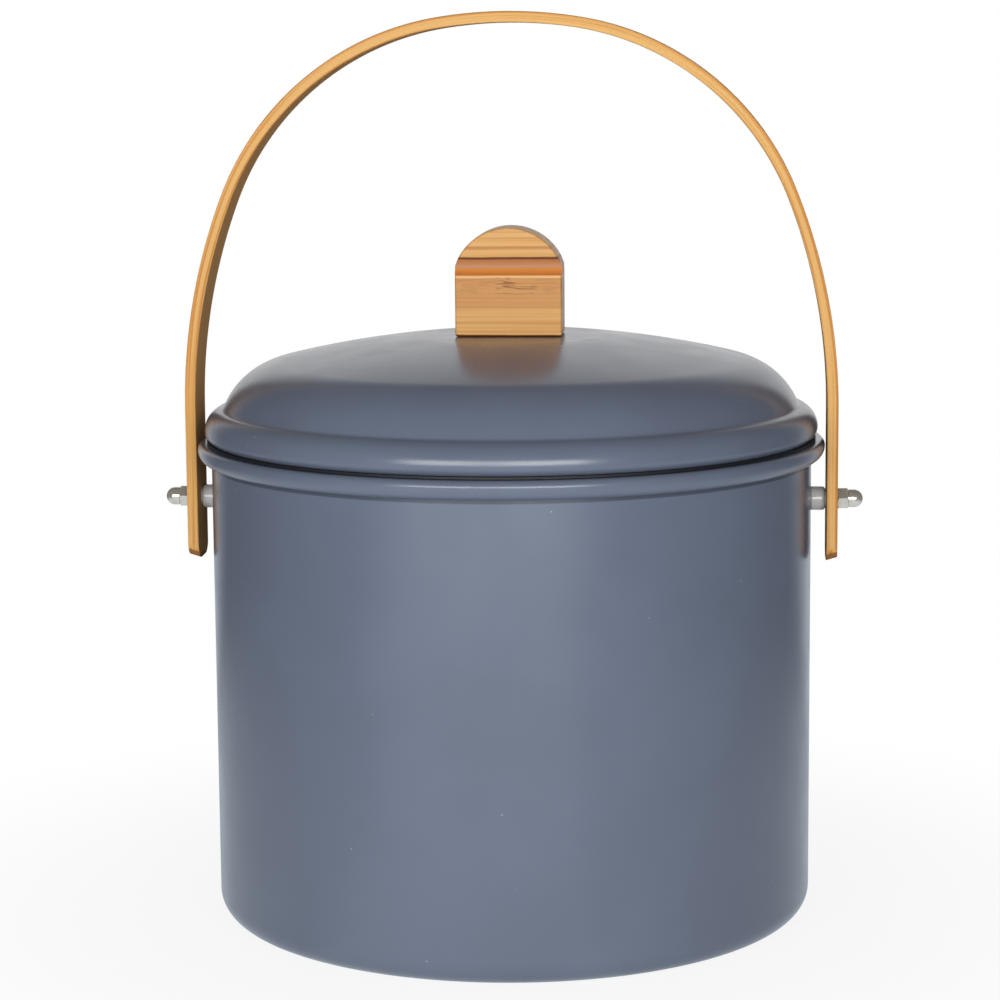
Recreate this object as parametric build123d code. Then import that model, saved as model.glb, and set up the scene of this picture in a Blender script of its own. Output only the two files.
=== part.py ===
# Kitchen compost bucket with a lift-off lid, an inner bucket and a bamboo bail.
# Millimetres. The origin is the centre of the base, Z is up, and the bail turns about an axis along X.
from build123d import *
from math import asin, cos, degrees, radians, sin, sqrt, tan
import os

os.makedirs("parts", exist_ok=True)

# Bucket body: one drawn sheet with a rolled hem and a pressed-up base panel
body_radius = 120.0
body_height = 191.7
sheet = 0.8
base_corner_radius = 9.7
foot_width = 6.5
panel_rise = 2.5
panel_slope_width = 3.0
hem_width = 6.2
hem_top_radius = 2.5
hem_inner_corner = 1.7
hem_end_gap = 0.3

# Bail pivots: screw, inside washer, stepped spacer and cap nut on each side
pivot_below_rim = 24.4
thread_diameter = 5.0
thread_clearance = 0.05
wall_hole_clearance = 0.2
pivot_screw_length = 18.0
pan_head_diameter = 9.5
pan_head_height = 3.0
head_edge_radius = 1.2
recess_width = 1.1
recess_span = 5.0
recess_depth = 1.6
washer_diameter = 10.0
washer_thickness = 1.0
washer_clearance = 0.15
spacer_diameter = 9.5
spacer_length = 5.7
spacer_neck_diameter = 6.6
neck_fit = 0.05
bail_side_clearance = 0.3
nut_across_flats = 8.0
nut_hex_height = 4.0
nut_height = 10.0
nut_dome_diameter = 7.2
nut_bore_depth = 7.0
nut_turn = 22.0

# Bail: one bent strip, its face drawn as arcs from the middle of the arch down to the legs
strip_thickness = 4.4
strip_width = 22.4
strip_edge_radius = 0.7
bail_rise = 193.3
arch_top_radius = 175.0
arch_top_angle = 9.0
arch_side_radius = 233.0
arch_side_angle = 68.5
leg_tail = 23.0
leg_corner_radius = 6.5
leg_end_slant = 17.0

# Lid: a pressed dome with a shoulder, a crease and a rounded skirt that ends in an inward flange
skirt_proud = 2.5
skirt_bead_radius = 8.54
skirt_lower_radius = 4.4
skirt_tuck_angle = 65.0
flange_width = 4.6
crease_angle = 14.5
crease_radius = 2.2
side_angle = 62.5
side_length = 2.4
shoulder_radius = 30.2
crown_radius = 401.0
seat_radius = 38.0
vent_diameter = 3.0
vent_inner_circle = 33.0
vent_inner_count = 4
vent_outer_circle = 43.0
vent_outer_count = 5
vent_pitch = 11.0

# Lid seal: a soft channel pushed on the flange, with a lip that plugs the rim
seal_lip = 0.8
seal_rest_gap = 0.2
seal_slot_fit = 0.05
seal_plug_clearance = 0.6
seal_plug_width = 3.0
seal_plug_depth = 6.4
seal_lead_in = 1.8
seal_reach = 2.5

# Knob: a flat bamboo block with an arched top and a finger groove on both faces
knob_width = 42.5
knob_thickness = 20.0
knob_height = 43.2
knob_side_height = 28.0
knob_foot_radius = 1.2
knob_bevel = 1.0
groove_height = 28.0
groove_width = 7.0
groove_depth = 2.3
knob_screw_spacing = 22.0
knob_screw_diameter = 4.0
knob_screw_length = 20.0
knob_screw_fit = 0.05
knob_screw_tip = 2.5
screw_tip_taper = 1.6
knob_hole_spare = 1.0
lid_hole_clearance = 0.3
knob_head_diameter = 8.0
knob_head_height = 3.0
knob_washer_diameter = 9.0
knob_washer_thickness = 1.0
knob_recess_width = 1.0
knob_recess_span = 4.2

# Filter housing, filter and quarter-turn cover under the lid
housing_radius = 50.0
housing_wall = 2.0
housing_floor = 2.0
housing_depth = 18.0
housing_crown_gap = 0.6
boss_radius = 20.0
air_hole_diameter = 5.0
air_hole_circle = 33.0
air_hole_count = 12
hook_count = 3
hook_reach = 2.0
hook_height = 1.5
hook_angle = 24.0
cover_thickness = 2.0
cover_edge_clearance = 0.3
cover_hook_gap = 0.2
cover_notch_angle = 30.0
cover_notch_offset = 37.0
cover_slot_length = 16.0
cover_slot_width = 4.0
cover_slot_column_count = 3
cover_slot_column_pitch = 20.0
cover_slot_row_count = 3
cover_slot_row_pitch = 8.0
cover_slot_first_row = 10.0
grip_length = 52.0
grip_width = 6.0
grip_height = 6.0
grip_corner_radius = 2.4
filter_edge_clearance = 2.0
filter_rest_gap = 0.3
filter_head_gap = 0.3

# Inner bucket: a tapered moulding that stands on the base panel
liner_wall = 1.6
liner_floor = 1.8
liner_wall_clearance = 7.2
liner_taper = 6.0
liner_base_corner = 8.0
liner_screw_clearance = 5.45
liner_flange_clearance = 2.2
liner_flange_thickness = 1.6
liner_skirt_height = 6.5
grip_ledge_depth = 12.0

# Points nearer to each other than this are one point
same_place = 1e-6

# Heights and radii that follow from the sizes above
wall_inner_radius = body_radius - sheet
hem_radius = wall_inner_radius + hem_width
panel_top = panel_rise + sheet
pivot_height = body_height - pivot_below_rim
bail_inner_x = body_radius + spacer_length + bail_side_clearance
bail_outer_x = bail_inner_x + strip_thickness
nut_base_x = bail_outer_x + bail_side_clearance
washer_seat_x = sqrt(wall_inner_radius**2 - (washer_diameter / 2) ** 2)
head_seat_x = washer_seat_x - washer_thickness
flange_bottom = body_height + seal_rest_gap + seal_lip
flange_top = flange_bottom + sheet


def spot(radius, height):
    return Vector(radius, 0, height)


def arc(centre, radius, start, end):
    """Arc in the radius-height plane; angles are in degrees, 0 outwards and 90 upwards."""
    turns = [radians(a) for a in (start, (start + end) / 2, end)]
    return ThreePointArc(*[spot(centre[0] + radius * cos(t), centre[1] + radius * sin(t)) for t in turns])


def outline(*steps):
    """Closed face from corners, given as (radius, height), and arcs, joined by straight lines."""
    edges = []
    first = last = None
    for step in steps:
        corner = isinstance(step, tuple)
        start = spot(*step) if corner else step @ 0
        end = start if corner else step @ 1
        if first is None:
            first = start
        elif (start - last).length > same_place:
            edges.append(Line(last, start))
        if not corner:
            edges.append(step)
        last = end
    if (first - last).length > same_place:
        edges.append(Line(last, first))
    return make_face(edges)


def turned(*steps):
    return revolve(outline(*steps), Axis.Z)


def along_x(shape, x, height):
    """Turn a piece made along Z so that it points along +X from x, at the given height."""
    return Pos(x, 0, height) * Rot(0, 90, 0) * shape


def on_left(shape):
    return mirror(shape, Plane.YZ)


def cross_recess(span, width, depth):
    """Cross slot that goes down from z = 0."""
    bar = Pos(0, 0, -depth / 2) * Box(span, width, depth)
    return bar + Rot(0, 0, 90) * bar


def pan_head_screw(head_diameter, head_height, diameter, length, span, width, tip=0.0):
    """Screw with its shank along +Z from z = 0 and its head below."""
    radius = head_diameter / 2
    head = Pos(0, 0, -head_height / 2) * Cylinder(radius, head_height)
    head = fillet(head.edges().group_by(Axis.Z)[0], head_edge_radius)
    shank = Pos(0, 0, length / 2) * Cylinder(diameter / 2, length)
    if tip:
        shank = chamfer(shank.edges().group_by(Axis.Z)[-1], tip, screw_tip_taper)
    recess = Pos(0, 0, -head_height) * Rot(180, 0, 0) * cross_recess(span, width, recess_depth)
    return head + shank - recess


def flat_washer(diameter, bore, thickness):
    """Washer from z = 0 upwards."""
    disc = Cylinder(diameter / 2, thickness) - Cylinder(bore / 2, thickness)
    return Pos(0, 0, thickness / 2) * disc


def bucket_body():
    """Cup of one sheet: pressed base panel, rounded base corner, wall and a hem rolled outwards."""
    corner_x = body_radius - base_corner_radius
    slope_x = corner_x - foot_width
    panel_x = slope_x - panel_slope_width
    inner_centre = (wall_inner_radius + hem_inner_corner, body_height - hem_inner_corner)
    top_centre = (hem_radius - hem_top_radius, body_height - hem_top_radius)
    end_x = body_radius + hem_end_gap
    lower_radius = hem_radius - end_x
    lower_centre = (end_x, top_centre[1])
    hem_low = top_centre[1] - lower_radius
    cup = turned(
        (0, panel_rise),
        (panel_x, panel_rise),
        (slope_x, 0),
        arc((corner_x, base_corner_radius), base_corner_radius, -90, 0),
        arc(inner_centre, hem_inner_corner - sheet, 180, 90),
        arc(top_centre, hem_top_radius - sheet, 90, 0),
        arc(lower_centre, lower_radius - sheet, 0, -90),
        (end_x, hem_low),
        arc(lower_centre, lower_radius, -90, 0),
        arc(top_centre, hem_top_radius, 0, 90),
        arc(inner_centre, hem_inner_corner, 90, 180),
        arc((corner_x, base_corner_radius), base_corner_radius - sheet, 0, -90),
        (slope_x, sheet),
        (panel_x, panel_top),
        (0, panel_top),
    )
    hole = Cylinder(thread_diameter / 2 + wall_hole_clearance, 2 * hem_radius)
    return cup - along_x(hole, 0, pivot_height)


def pivot_screw():
    screw = pan_head_screw(
        pan_head_diameter,
        pan_head_height,
        thread_diameter,
        pivot_screw_length,
        recess_span,
        recess_width,
    )
    return along_x(screw, head_seat_x, pivot_height)


def pivot_washer():
    washer = flat_washer(washer_diameter, thread_diameter + 2 * washer_clearance, washer_thickness)
    return along_x(washer, head_seat_x, pivot_height)


def pivot_spacer():
    """Stepped bush: the wide end spaces the bail off the wall, the neck is its bearing."""
    neck_length = nut_base_x - body_radius - spacer_length
    wide = Pos(0, 0, spacer_length / 2) * Cylinder(spacer_diameter / 2, spacer_length)
    neck = Pos(0, 0, spacer_length + neck_length / 2) * Cylinder(spacer_neck_diameter / 2, neck_length)
    bore = Cylinder(thread_diameter / 2 + thread_clearance, 4 * spacer_length)
    return along_x(wide + neck - bore, body_radius, pivot_height)


def cap_nut():
    """Hexagon with chamfered corners, and a domed cap."""
    dome_radius = nut_dome_diameter / 2
    corner_radius = nut_across_flats / 2 / cos(radians(30))
    chamfer_drop = (corner_radius - dome_radius) * tan(radians(30))
    hexagon = Rot(0, 0, nut_turn) * extrude(RegularPolygon(corner_radius, 6), nut_hex_height)
    turned_blank = turned(
        (0, 0),
        (nut_across_flats / 2, 0),
        (corner_radius, chamfer_drop),
        (corner_radius, nut_hex_height - chamfer_drop),
        (dome_radius, nut_hex_height),
        (0, nut_hex_height),
    )
    cap = turned(
        (0, nut_hex_height),
        (dome_radius, nut_hex_height),
        arc((0, nut_height - dome_radius), dome_radius, 0, 90),
    )
    bore = Pos(0, 0, nut_bore_depth / 2) * Cylinder(thread_diameter / 2 + thread_clearance, nut_bore_depth)
    nut = (hexagon & turned_blank) + cap - bore
    return along_x(nut, nut_base_x, pivot_height)


def bail():
    """Arched strip: three tangent arcs a side and straight legs with rounded, slanted ends."""
    a = radians(arch_top_angle)
    b = radians(arch_side_angle)
    top = pivot_height + bail_rise
    span_left = bail_outer_x - arch_top_radius * sin(a) - arch_side_radius * (1 - sin(b))
    bend_radius = span_left / (sin(b) - sin(a))
    top_centre = (0, top - arch_top_radius)
    step = arch_top_radius - bend_radius
    bend_centre = (top_centre[0] + step * sin(a), top_centre[1] + step * cos(a))
    step = bend_radius - arch_side_radius
    side_centre = (bend_centre[0] + step * sin(b), bend_centre[1] + step * cos(b))
    end_outer = pivot_height - leg_tail
    end_inner = end_outer - strip_thickness * tan(radians(leg_end_slant))
    top_turn = 90 - arch_top_angle
    side_turn = 90 - arch_side_angle
    half = outline(
        (0, top - strip_thickness),
        arc(top_centre, arch_top_radius, 90, top_turn),
        arc(bend_centre, bend_radius, top_turn, side_turn),
        arc(side_centre, arch_side_radius, side_turn, 0),
        (bail_outer_x, end_outer),
        (bail_inner_x, end_inner),
        arc(side_centre, arch_side_radius - strip_thickness, 0, side_turn),
        arc(bend_centre, bend_radius - strip_thickness, side_turn, top_turn),
        arc(top_centre, arch_top_radius - strip_thickness, top_turn, 90),
    )
    half = extrude(half, strip_width / 2, both=True)
    strip = half + mirror(half, Plane.YZ)
    strip = fillet([edge for edge in strip.edges() if runs_along_strip(edge)], strip_edge_radius)
    height = 3 * bail_rise
    envelope = Pos(0, 0, height / 2) * Box(6 * bail_outer_x, strip_width, height)
    envelope = fillet(envelope.edges().filter_by(Axis.X).group_by(Axis.Z)[0], leg_corner_radius)
    envelope = Pos(bail_inner_x, 0, end_inner) * Rot(0, -leg_end_slant, 0) * envelope
    strip = strip & envelope & on_left(envelope)
    hole = Cylinder(spacer_neck_diameter / 2 + neck_fit, 3 * bail_outer_x)
    return strip - along_x(hole, 0, pivot_height)


def runs_along_strip(edge):
    """True for the strip's long edges, which lie in its two side planes."""
    in_side_plane = all(abs(abs((edge @ t).Y) - strip_width / 2) < same_place for t in (0, 0.5, 1))
    return in_side_plane and edge.length > 2 * strip_thickness


# Lid profile, from the skirt up to the crown: each arc meets the next one tangentially
skirt_tuck = skirt_lower_radius * sin(radians(skirt_tuck_angle))
bead_centre = (body_radius + skirt_proud - skirt_bead_radius, flange_bottom + skirt_tuck)
tuck_centre = (body_radius + skirt_proud - skirt_lower_radius, bead_centre[1])
crease_centre = (
    bead_centre[0] + (skirt_bead_radius + crease_radius) * sin(radians(crease_angle)),
    bead_centre[1] + (skirt_bead_radius + crease_radius) * cos(radians(crease_angle)),
)
shoulder_centre = (
    crease_centre[0]
    - side_length * cos(radians(side_angle))
    - (crease_radius + shoulder_radius) * sin(radians(side_angle)),
    crease_centre[1]
    + side_length * sin(radians(side_angle))
    - (crease_radius + shoulder_radius) * cos(radians(side_angle)),
)
crown_centre_z = shoulder_centre[1] - sqrt((crown_radius - shoulder_radius) ** 2 - shoulder_centre[0] ** 2)
crown_angle = asin(shoulder_centre[0] / (crown_radius - shoulder_radius))
seat_top = crown_centre_z + sqrt(crown_radius**2 - seat_radius**2)
seat_bottom = seat_top - sheet
inner_tuck_angle = asin((skirt_tuck - sheet) / (skirt_lower_radius - sheet))
flange_outer_radius = tuck_centre[0] + skirt_lower_radius * cos(radians(skirt_tuck_angle))
flange_inner_radius = flange_outer_radius - flange_width


def crown_underside(radius):
    return crown_centre_z + sqrt((crown_radius - sheet) ** 2 - radius**2)


# Heights under the lid, from the crown's underside down to the cover
housing_top = crown_underside(housing_radius) - housing_crown_gap
housing_floor_z = housing_top - housing_floor
housing_bottom = housing_top - housing_depth
knob_head_seat_z = housing_floor_z - knob_washer_thickness
hook_top = housing_bottom + hook_height
cover_bottom = hook_top + cover_hook_gap
cover_top = cover_bottom + cover_thickness
filter_bottom = cover_top + filter_rest_gap
filter_top = knob_head_seat_z - knob_head_height - filter_head_gap
housing_bore = housing_radius - housing_wall


def lid_skin(offset, lowest):
    """Arcs of the lid's skin, from the seat of the knob to the skirt, moved inwards by offset."""
    crown_end = 90 - degrees(crown_angle)
    crown_start = degrees(asin((seat_top - offset - crown_centre_z) / (crown_radius - offset)))
    return [
        ((0, crown_centre_z), crown_radius - offset, crown_start, crown_end),
        (shoulder_centre, shoulder_radius - offset, crown_end, 90 - side_angle),
        (crease_centre, crease_radius + offset, 180 + 90 - side_angle, 180 + 90 - crease_angle),
        (bead_centre, skirt_bead_radius - offset, 90 - crease_angle, 0),
        (tuck_centre, skirt_lower_radius - offset, 0, lowest),
    ]


def lid_shell():
    """Pressed dome of one sheet with screw holes at its middle and vent holes at the back."""
    outer = [arc(*piece) for piece in lid_skin(0, -skirt_tuck_angle)]
    inner = lid_skin(sheet, -degrees(inner_tuck_angle))
    inner = [arc(centre, radius, end, start) for centre, radius, start, end in reversed(inner)]
    shell = turned(
        (0, seat_top),
        *outer,
        (flange_inner_radius, flange_bottom),
        (flange_inner_radius, flange_top),
        *inner,
        (0, seat_bottom),
    )
    for circle, count in ((vent_inner_circle, vent_inner_count), (vent_outer_circle, vent_outer_count)):
        crown_height = crown_underside(circle) + sheet / 2
        vent = Pos(0, 0, crown_height) * Cylinder(vent_diameter / 2, 4 * sheet)
        for index in range(count):
            turn = 90 + (index - (count - 1) / 2) * vent_pitch
            shell -= Rot(0, 0, turn) * Pos(circle, 0, 0) * vent
    hole = Pos(0, 0, seat_top) * Cylinder(knob_screw_diameter / 2 + lid_hole_clearance, 4 * sheet)
    return shell - on_both_screws(hole)


def on_both_screws(shape):
    """The same cutter at both knob screws."""
    return Pos(-knob_screw_spacing / 2, 0, 0) * shape + Pos(knob_screw_spacing / 2, 0, 0) * shape


def lid_knob():
    """Block with an arched top, softened outline and a scooped groove across each face."""
    half_width = knob_width / 2
    corner = knob_foot_radius
    shoulder = knob_side_height
    face = Plane.XZ * make_face(
        [
            Line((-half_width + corner, 0), (half_width - corner, 0)),
            TangentArc((half_width - corner, 0), (half_width, corner), tangent=(1, 0)),
            Line((half_width, corner), (half_width, shoulder)),
            ThreePointArc((half_width, shoulder), (0, knob_height), (-half_width, shoulder)),
            Line((-half_width, shoulder), (-half_width, corner)),
            TangentArc((-half_width, corner), (-half_width + corner, 0), tangent=(0, -1)),
        ]
    )
    flat_half = knob_thickness / 2 - knob_bevel
    bevelled = Pos(0, -flat_half, 0) * extrude(face, knob_bevel, taper=45)
    block = extrude(face, flat_half, both=True) + bevelled + Rot(0, 0, 180) * bevelled
    scoop_radius = ((groove_width / 2) ** 2 + groove_depth**2) / (2 * groove_depth)
    scoop = Rot(0, 90, 0) * Cylinder(scoop_radius, 2 * knob_width)
    scoop_y = knob_thickness / 2 - groove_depth + scoop_radius
    for side in (-1, 1):
        block -= Pos(0, side * scoop_y, groove_height) * scoop
    bore_depth = knob_screw_length - (seat_top - knob_head_seat_z) + knob_hole_spare
    bore = Pos(0, 0, bore_depth / 2) * Cylinder(knob_screw_diameter / 2 + knob_screw_fit, bore_depth)
    return Pos(0, 0, seat_top) * (block - on_both_screws(bore))


def knob_screw():
    return Pos(knob_screw_spacing / 2, 0, knob_head_seat_z) * pan_head_screw(
        knob_head_diameter,
        knob_head_height,
        knob_screw_diameter,
        knob_screw_length,
        knob_recess_span,
        knob_recess_width,
        knob_screw_tip,
    )


def knob_washer():
    bore = knob_screw_diameter + 2 * lid_hole_clearance
    washer = flat_washer(knob_washer_diameter, bore, knob_washer_thickness)
    return Pos(knob_screw_spacing / 2, 0, knob_head_seat_z) * washer


def lid_seal():
    """Soft ring: a channel round the lid's flange and a lip that reaches into the rim."""
    slot_x = flange_inner_radius - seal_slot_fit
    outer_x = wall_inner_radius + seal_reach
    plug_x = wall_inner_radius - seal_plug_clearance
    inner_x = plug_x - seal_plug_width
    low = body_height - seal_plug_depth
    rest = flange_bottom - seal_lip
    upper = flange_top + seal_slot_fit
    return turned(
        (inner_x, low),
        (plug_x - seal_lip, low),
        (plug_x, low + seal_lead_in),
        (plug_x, rest),
        (outer_x, rest),
        (outer_x, flange_bottom),
        (slot_x, flange_bottom),
        (slot_x, upper),
        (plug_x + seal_lip, upper),
        (plug_x + seal_lip, upper + seal_lip),
        (inner_x, upper + seal_lip),
    )


def ring_sector(inner, outer, angle, thickness):
    """Part of a ring from z = 0 upwards, centred on +X, angle degrees wide."""
    half = radians(angle / 2)
    reach = outer / cos(half)
    wedge = make_face(Polyline((0, 0), (reach, -reach * tan(half)), (reach, reach * tan(half)), close=True))
    ring = Cylinder(outer, thickness) - Cylinder(inner, thickness)
    return Pos(0, 0, thickness / 2) * ring & extrude(wedge, thickness)


def filter_housing():
    """Round moulding screwed up against the lid, open below, with hooks round its mouth."""
    cup = turned(
        (0, housing_floor_z),
        (housing_bore, housing_floor_z),
        (housing_bore, housing_bottom),
        (housing_radius, housing_bottom),
        (housing_radius, housing_top),
        (boss_radius, housing_top),
        (boss_radius, seat_bottom),
        (0, seat_bottom),
    )
    root = housing_bore + housing_wall / 2
    hook = Pos(0, 0, housing_bottom) * ring_sector(housing_bore - hook_reach, root, hook_angle, hook_height)
    for index in range(hook_count):
        cup += Rot(0, 0, 90 + index * 360 / hook_count) * hook
    air_hole = Pos(air_hole_circle, 0, housing_top) * Cylinder(air_hole_diameter / 2, 4 * housing_floor)
    for index in range(air_hole_count):
        cup -= Rot(0, 0, (index + 0.5) * 360 / air_hole_count) * air_hole
    hole = Pos(0, 0, housing_top) * Cylinder(knob_screw_diameter / 2 + lid_hole_clearance, housing_depth)
    return cup - on_both_screws(hole)


def charcoal_filter():
    thickness = filter_top - filter_bottom
    pad = Cylinder(housing_bore - filter_edge_clearance, thickness)
    return Pos(0, 0, filter_bottom + thickness / 2) * pad


def filter_cover():
    """Slotted disc with a grip bar; three notches in its edge let it past the hooks."""
    edge = housing_bore - cover_edge_clearance
    disc = Pos(0, 0, cover_bottom + cover_thickness / 2) * Cylinder(edge, cover_thickness)
    notch = ring_sector(edge - hook_reach, edge + housing_wall, cover_notch_angle, 4 * cover_thickness)
    notch = Pos(0, 0, cover_bottom - cover_thickness) * notch
    for index in range(hook_count):
        disc -= Rot(0, 0, 90 + cover_notch_offset + index * 360 / hook_count) * notch
    slot = Pos(0, 0, cover_bottom) * extrude(
        SlotOverall(cover_slot_length, cover_slot_width), 2 * cover_thickness, both=True
    )
    for column in range(cover_slot_column_count):
        x = (column - (cover_slot_column_count - 1) / 2) * cover_slot_column_pitch
        for row in range(cover_slot_row_count):
            y = cover_slot_first_row + row * cover_slot_row_pitch
            disc -= Pos(x, y, 0) * slot
            disc -= Pos(x, -y, 0) * slot
    bar = Pos(0, 0, cover_bottom - grip_height / 2) * Box(grip_length, grip_width, grip_height)
    bar = fillet(bar.edges().filter_by(Axis.Z), grip_corner_radius)
    return disc + bar


def inner_bucket():
    """Tapered cup with a flange, a short skirt below it and two inward ledges to lift it by."""
    base_z = panel_top
    skirt_bottom = pivot_height + pan_head_diameter / 2 + liner_screw_clearance
    top = skirt_bottom + liner_skirt_height
    mouth_radius = wall_inner_radius - liner_wall_clearance
    flange_radius = wall_inner_radius - liner_flange_clearance
    corner = liner_base_corner
    base_x = mouth_radius - liner_taper - corner
    under = top - liner_flange_thickness
    skirt_x = flange_radius - liner_flange_thickness
    cup = turned(
        (0, base_z),
        arc((base_x, base_z + corner), corner, -90, 0),
        (mouth_radius, under),
        (skirt_x, under),
        (skirt_x, skirt_bottom),
        (flange_radius, skirt_bottom),
        (flange_radius, top),
        (mouth_radius - liner_wall, top),
        arc((base_x, base_z + corner), corner - liner_wall, 0, -90),
        (0, base_z + liner_floor),
    )
    mouth = mouth_radius - liner_wall / 2
    disc = Pos(0, 0, under + liner_flange_thickness / 2) * Cylinder(mouth, liner_flange_thickness)
    for side in (-1, 1):
        far = side * (mouth - grip_ledge_depth + mouth)
        cup += disc & Pos(0, far, under) * Box(2 * mouth, 2 * mouth, 4 * liner_flange_thickness)
    return cup


def save(name, shape):
    shape.label = name
    export_step(shape, f"parts/{name}.step")


right_hand_parts = {
    "pivot_screw": pivot_screw(),
    "screw_washer": pivot_washer(),
    "spacer": pivot_spacer(),
    "cap_nut": cap_nut(),
    "knob_screw": knob_screw(),
    "knob_washer": knob_washer(),
}
for name, shape in right_hand_parts.items():
    save(f"right_{name}", shape)
    save(f"left_{name}", on_left(shape))

save("bucket_body", bucket_body())
save("bail", bail())
save("lid_shell", lid_shell())
save("lid_knob", lid_knob())
save("lid_seal", lid_seal())
save("filter_housing", filter_housing())
save("charcoal_filter", charcoal_filter())
save("filter_cover", filter_cover())
save("inner_bucket", inner_bucket())
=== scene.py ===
# Kitchen compost bucket with a bamboo bail: looks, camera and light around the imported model.
# Metres, Z up; the bail turns about an axis along X.
import bpy
import bmesh
from math import asin, atan2, cos, degrees, hypot, pi, radians, sin, sqrt, tan
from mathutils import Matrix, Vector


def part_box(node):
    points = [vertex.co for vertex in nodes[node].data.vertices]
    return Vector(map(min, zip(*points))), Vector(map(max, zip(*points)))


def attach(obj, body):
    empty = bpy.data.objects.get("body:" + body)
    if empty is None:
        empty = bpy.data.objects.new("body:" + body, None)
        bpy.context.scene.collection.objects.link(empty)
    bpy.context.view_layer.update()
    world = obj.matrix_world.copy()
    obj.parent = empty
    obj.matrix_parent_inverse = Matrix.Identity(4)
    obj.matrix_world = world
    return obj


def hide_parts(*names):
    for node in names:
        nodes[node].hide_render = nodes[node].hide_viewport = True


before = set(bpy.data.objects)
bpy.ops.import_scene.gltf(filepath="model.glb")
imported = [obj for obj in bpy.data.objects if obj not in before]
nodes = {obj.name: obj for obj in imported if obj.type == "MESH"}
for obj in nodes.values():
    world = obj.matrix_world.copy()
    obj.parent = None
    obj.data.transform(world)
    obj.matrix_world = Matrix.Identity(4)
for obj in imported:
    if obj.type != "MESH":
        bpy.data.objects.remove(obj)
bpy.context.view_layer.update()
print("frame loaded with", len(nodes), "nodes")


# Modelling helpers: a profile is drawn in the XZ plane with a pen, then spun or filled
def chooseNothing():
    bpy.ops.object.select_all(action="DESELECT")


def makeActive(piece):
    chooseNothing()
    piece.select_set(True)
    bpy.context.view_layer.objects.active = piece


def startPoint(name, x, z, y=0.0):
    chooseNothing()
    bpy.ops.mesh.primitive_plane_add(size=0.001, location=(x, y, z))
    piece = bpy.context.object
    piece.name = piece.data.name = name
    bpy.ops.object.transform_apply(location=True, rotation=False, scale=False)
    bpy.ops.object.mode_set(mode="EDIT")
    bpy.ops.mesh.select_all(action="SELECT")
    bpy.ops.mesh.merge(type="CENTER")
    return piece


def drawLine(pen, x, z, hold=0.0):
    # A long line gets a point close to each end, so that the bend beside it doesn't shade along it
    length = hypot(x - pen[0], z - pen[1])
    shares = [hold / length, 1 - hold / length, 1.0] if hold and length > 4 * hold else [1.0]
    start = tuple(pen)
    for share in shares:
        goal = (start[0] + (x - start[0]) * share, start[1] + (z - start[1]) * share)
        move = (goal[0] - pen[0], 0, goal[1] - pen[1])
        bpy.ops.mesh.extrude_region_move(TRANSFORM_OT_translate={"value": move})
        pen[:] = goal


def drawArc(pen, centre, radius, start, end, step=6.0):
    # Angles in degrees, 0 outwards and 90 upwards
    begin = (centre[0] + radius * cos(radians(start)), centre[1] + radius * sin(radians(start)))
    if hypot(begin[0] - pen[0], begin[1] - pen[1]) > 1e-6:
        drawLine(pen, *begin, hold=0.0004)
    count = max(2, round(abs(end - start) / step))
    # the spin operator turns left-handed about its axis
    bpy.ops.mesh.spin(
        steps=count, angle=radians(end - start), center=(centre[0], 0, centre[1]), axis=(0, 1, 0)
    )
    pen[:] = (centre[0] + radius * cos(radians(end)), centre[1] + radius * sin(radians(end)))


def tidyMesh(smoothAngle=35.0):
    # Ends edit mode with doubles merged, normals outward and smooth shading between soft faces
    bpy.ops.mesh.select_all(action="SELECT")
    bpy.ops.mesh.remove_doubles(threshold=2e-6)
    bpy.ops.mesh.select_all(action="SELECT")
    bpy.ops.mesh.normals_make_consistent(inside=False)
    bpy.ops.object.mode_set(mode="OBJECT")
    bpy.ops.object.shade_smooth_by_angle(angle=radians(smoothAngle))


def turnPiece(name, steps, turns=240, centre=(0, 0, 0), axis=(0, 0, 1)):
    # Spins a half section round the axis; the section starts and ends on it, or closes on itself
    piece = startPoint(name, *steps[0])
    pen = list(steps[0])
    for step in steps[1:]:
        if len(step) == 2:
            drawLine(pen, *step, hold=0.0004)
        else:
            drawArc(pen, *step)
    bpy.ops.mesh.select_all(action="SELECT")
    bpy.ops.mesh.remove_doubles(threshold=2e-6)
    bpy.ops.mesh.select_all(action="SELECT")
    bpy.ops.mesh.spin(steps=turns, angle=2 * pi, center=centre, axis=axis)
    tidyMesh()
    return piece


def carve(piece, cutter, operation="DIFFERENCE"):
    makeActive(piece)
    cut = piece.modifiers.new("cut", "BOOLEAN")
    cut.operation = operation
    cut.solver = "EXACT"
    cut.object = cutter
    bpy.ops.object.modifier_apply(modifier=cut.name)
    bpy.data.objects.remove(cutter)


def soften(piece, width, segments, angle):
    # Rounds the edges that turn by more than the angle
    makeActive(piece)
    bevel = piece.modifiers.new("soften", "BEVEL")
    bevel.width = width
    bevel.segments = segments
    bevel.limit_method = "ANGLE"
    bevel.angle_limit = radians(angle)
    bpy.ops.object.modifier_apply(modifier=bevel.name)


def evenNormals(piece):
    # Large flat faces keep one direction of shading beside the rounded edges
    makeActive(piece)
    even = piece.modifiers.new("evenNormals", "WEIGHTED_NORMAL")
    even.keep_sharp = True
    bpy.ops.object.modifier_apply(modifier=even.name)


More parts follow.
